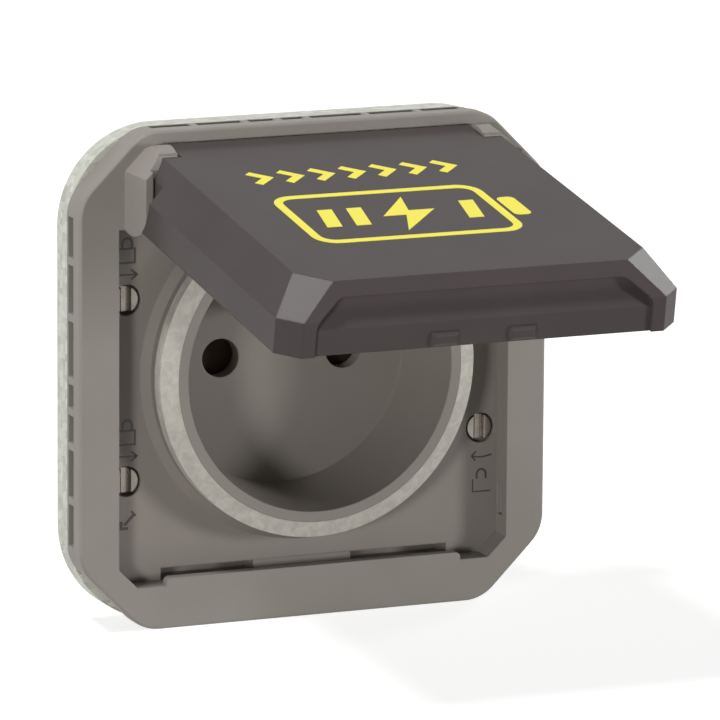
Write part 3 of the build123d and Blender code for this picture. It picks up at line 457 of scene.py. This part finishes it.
class WallSocketSettings(bpy.types.PropertyGroup):
    frame_colour: bpy.props.FloatVectorProperty(
        name="Frame", description="Colour of the moulded front frame", subtype="COLOR", size=4,
        min=0, max=1, default=linear("#87827b"))
    # painted shade: the cover is the frame's plastic made a little darker for the shade in the recess and the
    # well
    cover_colour: bpy.props.FloatVectorProperty(
        name="Cover", description="Colour of the recessed floor and the plug well", subtype="COLOR", size=4,
        min=0, max=1, default=linear("#827c75"))
    lid_colour: bpy.props.FloatVectorProperty(
        name="Lid", description="Colour of the moulded lid", subtype="COLOR", size=4,
        min=0, max=1, default=linear("#4e4747"))
    seal_colour: bpy.props.FloatVectorProperty(
        name="Seal", description="Pale tone of the ring round the well", subtype="COLOR", size=4,
        min=0, max=1, default=linear("#bdb9af"))
    gasket_colour: bpy.props.FloatVectorProperty(
        name="Gasket", description="Pale tone of the gasket at the wall", subtype="COLOR", size=4,
        min=0, max=1, default=linear("#dcdcd2"))
    print_colour: bpy.props.FloatVectorProperty(
        name="Print", description="Colour of the ink on the lid", subtype="COLOR", size=4,
        min=0, max=1, default=linear("#f7ec3c"))
    # painted shade: the signs' dark colour stands for the shadow inside engraved marks
    sign_painted_shade: bpy.props.FloatVectorProperty(
        name="Signs", description="Shade in the marks beside the locks", subtype="COLOR", size=4,
        min=0, max=1, default=linear("#2c261f"))
    print_thickness: bpy.props.FloatProperty(
        name="Print thickness", description="Ink film on the lid", subtype="DISTANCE", unit="LENGTH",
        default=0.04 * MM, min=0.01 * MM, max=0.2 * MM, precision=5)
    stroke: bpy.props.FloatProperty(
        name="Stroke", description="Width of the printed lines", subtype="DISTANCE", unit="LENGTH",
        default=1.25 * MM, min=0.3 * MM, max=3 * MM, precision=5)
    chevrons: bpy.props.IntProperty(
        name="Chevrons", description="Number of printed chevrons", default=7, min=1, max=20)
    lid_open: bpy.props.FloatProperty(
        name="Lid angle", description="Angle at which the lid stands open", subtype="ANGLE", unit="ROTATION",
        default=math.radians(lid_hinge["range_deg"][1]))
    hinge: bpy.props.FloatVectorProperty(
        name="Hinge", description="Middle of the lid's hinge", subtype="XYZ_LENGTH", unit="LENGTH",
        default=lid_hinge["pos_m"], precision=4)
    lid_face: bpy.props.FloatProperty(
        name="Lid face", description="Rise of the lid's flat face above its hinge", subtype="DISTANCE",
        unit="LENGTH", default=4.0 * MM, precision=4)
    floor_depth: bpy.props.FloatProperty(
        name="Floor depth", description="Place of the recessed floor along Y", subtype="DISTANCE",
        unit="LENGTH", default=-5.7 * MM, precision=4)


# Operators, one for each group of like pieces


class WALLSOCKET_OT_plastics(bpy.types.Operator):
    """Dress the moulded frame, cover, lid and housing"""

    bl_idname = "wallsocket.plastics"
    bl_label = "Moulded plastics"

    def execute(self, context):
        settings = context.scene.wall_socket
        plastics = (
            ("front_frame", "asa_taupe", tuple(settings.frame_colour), 0.5, 0.35),
            # the cover's darker taupe is painted shade for the recess and the well
            ("socket_cover", "asa_taupe_painted_recess_shade", tuple(settings.cover_colour), 0.55, 0.3),
            ("lid", "asa_anthracite", tuple(settings.lid_colour), 0.2, 0.03),
            ("shutter", "black_urea_resin", linear("#2a1e12"), 0.6, 0.1),
        )
        for node, name, colour, roughness, gloss in plastics:
            dress([node], moulded_plastic(name, colour, roughness, gloss))
        cams = ["lock_cam_" + lock for lock in LOCKS]
        nylon = fibre_nylon("glass_filled_nylon", linear("#6b6660"))
        dress(["mechanism_housing", "rear_cover"] + cams, nylon)
        return {"FINISHED"}


class WALLSOCKET_OT_soft_parts(bpy.types.Operator):
    """Dress the wall gasket and the ring round the well"""

    bl_idname = "wallsocket.soft_parts"
    bl_label = "Gasket and seal"

    def execute(self, context):
        settings = context.scene.wall_socket
        cloudy = cloudy_elastomer("cloudy_tpe", tuple(settings.gasket_colour), linear("#b2b4a6"))
        dress(["wall_gasket"], cloudy)
        marbled = marbled_elastomer("pale_tpe", tuple(settings.seal_colour), linear("#a9a59c"))
        dress(["collar_seal"], marbled)
        return {"FINISHED"}


class WALLSOCKET_OT_metal_parts(bpy.types.Operator):
    """Dress the screws, pins, contacts, terminals, spring and magnet"""

    bl_idname = "wallsocket.metal_parts"
    bl_label = "Metal parts"

    def execute(self, context):
        zinc = turned_metal("zinc_plated_steel", linear("#cfcbc3"), linear("#a29d95"), 0.28)
        screws = ["terminal_screw_" + name for name in TERMINALS]
        dress(screws + ["cover_screws", "hinge_pin"], zinc)
        tarnished = turned_metal(
            "tarnished_steel", linear("#8a847b"), linear("#79736a"), 0.24, spot_mm=TARNISH_SPOT)
        dress(["lock_screw_" + lock for lock in LOCKS], tarnished)
        brass = turned_metal("stamped_brass", linear("#d9b46a"), linear("#a98443"), 0.3, mark_mm=0.2)
        terminals = ["terminal_" + name for name in TERMINALS]
        dress(terminals + ["contact_live", "contact_neutral", "earth_strap"], brass)
        nickelled = turned_metal("nickelled_brass", linear("#e2ded2"), linear("#b3ac9b"), 0.2, mark_mm=0.1)
        dress(["earth_pin"], nickelled)
        wire = turned_metal("drawn_spring_wire", linear("#b9b9b7"), linear("#77767a"), 0.3, mark_mm=0.1)
        dress(["shutter_spring"], wire)
        magnet = turned_metal("nickelled_magnet", linear("#a9a9ab"), linear("#77777c"), 0.35, mark_mm=0.3)
        dress(["coding_magnet"], magnet)
        return {"FINISHED"}


class WALLSOCKET_OT_lid_print(bpy.types.Operator):
    """Make the yellow print on the lid: a charging battery under a row of chevrons"""

    bl_idname = "wallsocket.lid_print"
    bl_label = "Print on the lid"

    def execute(self, context):
        settings = context.scene.wall_socket
        ink = ink_and_painted_shade("yellow_pad_print", tuple(settings.print_colour))
        place = onto_lid(settings)
        width = settings.stroke / MM
        thickness = settings.print_thickness / MM
        outline = round_corners(*BATTERY, BATTERY_CORNER)
        cap = round_corners(*BATTERY_CAP, BATTERY_CAP_CORNER)
        single = (
            ("battery_outline", [(outline, width, True)], [cap]),
            ("battery_bolt", [], [BOLT]),
        )
        for name, lines, patches in single:
            mesh = film(name, thickness, lines, patches)
            mesh.transform(place)
            new_piece(name, mesh, ink, "lid")
        rows = (
            ("battery_bars_left", [], [BAR], 2, BAR_PITCH, LEFT_BARS),
            ("battery_bars_right", [], [BAR], 1, BAR_PITCH, RIGHT_BARS),
            ("chevron_row", [(CHEVRON, width, False)], [], settings.chevrons, CHEVRON_PITCH, FIRST_CHEVRON),
        )
        for name, lines, patches, count, pitch, start in rows:
            mesh = repeated(name, film(name + "_mark", thickness, lines, patches), count, pitch, ink)
            mesh.transform(place @ Matrix.Translation((*start, 0)))
            new_piece(name, mesh, ink, "lid")
        return {"FINISHED"}


class WALLSOCKET_OT_lock_signs(bpy.types.Operator):
    """Make the padlock and arrow marks beside the locks as dark films of painted shade"""

    bl_idname = "wallsocket.lock_signs"
    bl_label = "Signs by the locks"

    def execute(self, context):
        settings = context.scene.wall_socket
        # the signs are painted shade, a dark film where the engraved marks hold shadow
        shade = ink_and_painted_shade("painted_engraving_shade", tuple(settings.sign_painted_shade))
        # the locked signs' lines are drawn broader to take in the painted shade round their marks
        locked = (
            ([(-1.3, 5.3), (1.25, 5.3), (1.25, 7.3), (-1.3, 7.3)], PLAIN, True),
            (padlock_bow(0.1, 7.4, 0.72), STRONG, False),
            ([(-1.6, 3.6), (1.45, 3.6)], FINE, False),
            ([(0.7, 4.3), (1.55, 3.6), (0.7, 2.9)], STRONG, False),
        )
        released = (
            ([(1.85, -4.05), (0.5, -4.3), (-0.4, -4.3), (-1.2, -4.1)], FINE, False),
            ([(-0.6, -3.45), (-1.3, -4.1), (-0.7, -4.8)], FINE, False),
            (padlock_bow(0.24, -7.5, 0.7), PLAIN, False),
            ([(-1.1, -7.5), (-1.1, -9.35), (1.7, -9.35)], HAIR, False),
        )
        draw_out = (
            ([(1.1, -4.85), (-0.35, -6.3)], BROAD, False),
            ([(0.7, -4.3), (1.4, -5.0)], PLAIN, False),
            ([(-0.8, -5.7), (-0.8, -6.75), (0.25, -6.75)], BROAD, False),
        )
        signs = (
            ("sign_upper_left", locked, "lock_screw_upper_left"),
            ("sign_lower_left", locked, "lock_screw_lower_left"),
            ("sign_draw_out", draw_out, "lock_screw_lower_left"),
            ("sign_lower_right", released, "lock_screw_lower_right"),
            ("sign_upper_right", released, "lock_screw_upper_right"),
        )
        for name, lines, lock in signs:
            mesh = film(name, SIGN_THICKNESS, lines)
            mesh.transform(onto_floor(settings, lock))
            new_piece(name, mesh, shade, "mechanism")
        return {"FINISHED"}


class WALLSOCKET_OT_stage(bpy.types.Operator):
    """Make the camera, the soft lamps, the pale floor and the white surroundings"""

    bl_idname = "wallsocket.stage"
    bl_label = "Stage"

    def execute(self, context):
        self.camera(context)
        self.lamps(context)
        self.floor(context)
        self.surroundings(context)
        context.scene.view_settings.view_transform = "Standard"
        return {"FINISHED"}

    def camera(self, context):
        """A long lens from the left and a little above, as in the photograph."""
        yaw, rise, roll = [math.radians(turn) for turn in (CAMERA_YAW, CAMERA_RISE, CAMERA_ROLL)]
        right = Vector((math.cos(yaw), -math.sin(yaw), 0))
        ahead = Vector((math.sin(yaw) * math.cos(rise), math.cos(yaw) * math.cos(rise), -math.sin(rise)))
        up = right.cross(ahead)
        right, up = right * math.cos(roll) + up * math.sin(roll), up * math.cos(roll) - right * math.sin(roll)
        middle = Vector(CAMERA_AIM) + right * (SHIFT_RIGHT / PIXELS_PER_MM) + up * (SHIFT_UP / PIXELS_PER_MM)
        data = bpy.data.cameras.new("photo_camera")
        data.sensor_width = SENSOR_WIDTH
        data.lens = PIXELS_PER_MM * CAMERA_DISTANCE * SENSOR_WIDTH / PICTURE_WIDTH
        data.clip_start, data.clip_end = 0.01, 20
        camera = bpy.data.objects.new("photo_camera", data)
        context.scene.collection.objects.link(camera)
        turn = Matrix((right, up, -ahead)).transposed().to_4x4()
        camera.matrix_world = Matrix.Translation((middle - ahead * CAMERA_DISTANCE) * MM) @ turn
        context.scene.camera = camera

    def lamps(self, context):
        """Two low lamps from the sides, one above the lid and one that edges it from behind."""
        for name, place, size, level in LAMPS:
            data = bpy.data.lights.new(name, "AREA")
            # with this power a white surface that faces the lamp shows its level, where 1 is white
            data.energy = level * math.pi**2 * Vector(place).length_squared
            data.shape, data.size = "DISK", size
            lamp = bpy.data.objects.new(name, data)
            context.scene.collection.objects.link(lamp)
            lamp.location = place
            lamp.rotation_euler = (-Vector(place)).to_track_quat("-Z", "Y").to_euler()

    def floor(self, context):
        """A pale floor under the frame, which keeps the object's soft shadow and is white further out."""
        sheet = bmesh.new()
        bmesh.ops.create_circle(sheet, cap_ends=True, segments=96, radius=FLOOR_RADIUS)
        mesh = bpy.data.meshes.new("pale_floor")
        sheet.to_mesh(mesh)
        sheet.free()
        mesh.transform(Matrix.Translation((0, 0, cad_box[0][2])))
        floor = bpy.data.objects.new("pale_floor", mesh)
        context.scene.collection.objects.link(floor)
        material, tree = empty_material("pale_floor")
        lit = add_node(tree, "ShaderNodeBsdfDiffuse", values={"Color": linear("#c0c0be")})
        place = add_node(tree, "ShaderNodeTexCoord").outputs["Object"]
        reach = add_node(tree, "ShaderNodeVectorMath", settings={"operation": "LENGTH"}, links={0: place})
        level = add_node(tree, "ShaderNodeMapRange", links={"Value": reach.outputs["Value"]}, values={
            "From Min": GLOW_RISES_FROM, "From Max": GLOW_RISES_TO, "To Min": GLOW_NEAR, "To Max": GLOW_FAR})
        glow = add_node(tree, "ShaderNodeEmission", values={"Color": linear("#ffffff")},
                        links={"Strength": level.outputs["Result"]})
        both = add_node(tree, "ShaderNodeAddShader", links={0: lit.outputs[0], 1: glow.outputs[0]})
        mix = add_node(tree, "ShaderNodeMixShader",
                       links={0: seen_ray(tree), 1: lit.outputs[0], 2: both.outputs[0]})
        add_node(tree, "ShaderNodeOutputMaterial", links={"Surface": mix.outputs[0]})
        mesh.materials.append(material)

    def surroundings(self, context):
        """White where the camera, a gloss or a clear part sees it, and a plain grey level as light."""
        world = bpy.data.worlds.new("studio")
        context.scene.world = world
        world.use_nodes = True
        tree = world.node_tree
        tree.nodes.clear()
        colour = linear("#ffffff")
        soft = add_node(tree, "ShaderNodeBackground", values={"Color": colour, "Strength": LIGHT_AROUND})
        white = add_node(tree, "ShaderNodeBackground", values={"Color": colour, "Strength": WHITE_AROUND})
        mix = add_node(tree, "ShaderNodeMixShader",
                       links={0: seen_ray(tree), 1: soft.outputs[0], 2: white.outputs[0]})
        add_node(tree, "ShaderNodeOutputWorld", links={"Surface": mix.outputs[0]})


OPERATORS = (
    WALLSOCKET_OT_stage,
    WALLSOCKET_OT_plastics,
    WALLSOCKET_OT_soft_parts,
    WALLSOCKET_OT_metal_parts,
    WALLSOCKET_OT_lid_print,
    WALLSOCKET_OT_lock_signs,
)


class WALLSOCKET_PT_panel(bpy.types.Panel):
    """Sizes, colours and pieces of the wall socket"""

    bl_idname = "WALLSOCKET_PT_panel"
    bl_label = "Wall socket"
    bl_space_type = "VIEW_3D"
    bl_region_type = "UI"
    bl_category = "Wall socket"

    def draw(self, context):
        for name in WallSocketSettings.__annotations__:
            self.layout.prop(context.scene.wall_socket, name)
        for operator in OPERATORS:
            self.layout.operator(operator.bl_idname)


CLASSES = (WallSocketSettings, *OPERATORS, WALLSOCKET_PT_panel)


def register():
    for cls in CLASSES:
        bpy.utils.register_class(cls)
    bpy.types.Scene.wall_socket = bpy.props.PointerProperty(type=WallSocketSettings)


def unregister():
    del bpy.types.Scene.wall_socket
    for cls in reversed(CLASSES):
        bpy.utils.unregister_class(cls)


def main():
    register()
    bpy.ops.wallsocket.stage()
    bpy.ops.wallsocket.plastics()
    bpy.ops.wallsocket.soft_parts()
    bpy.ops.wallsocket.metal_parts()
    bpy.ops.wallsocket.lid_print()
    bpy.ops.wallsocket.lock_signs()


if __name__ == "__main__":
    main()
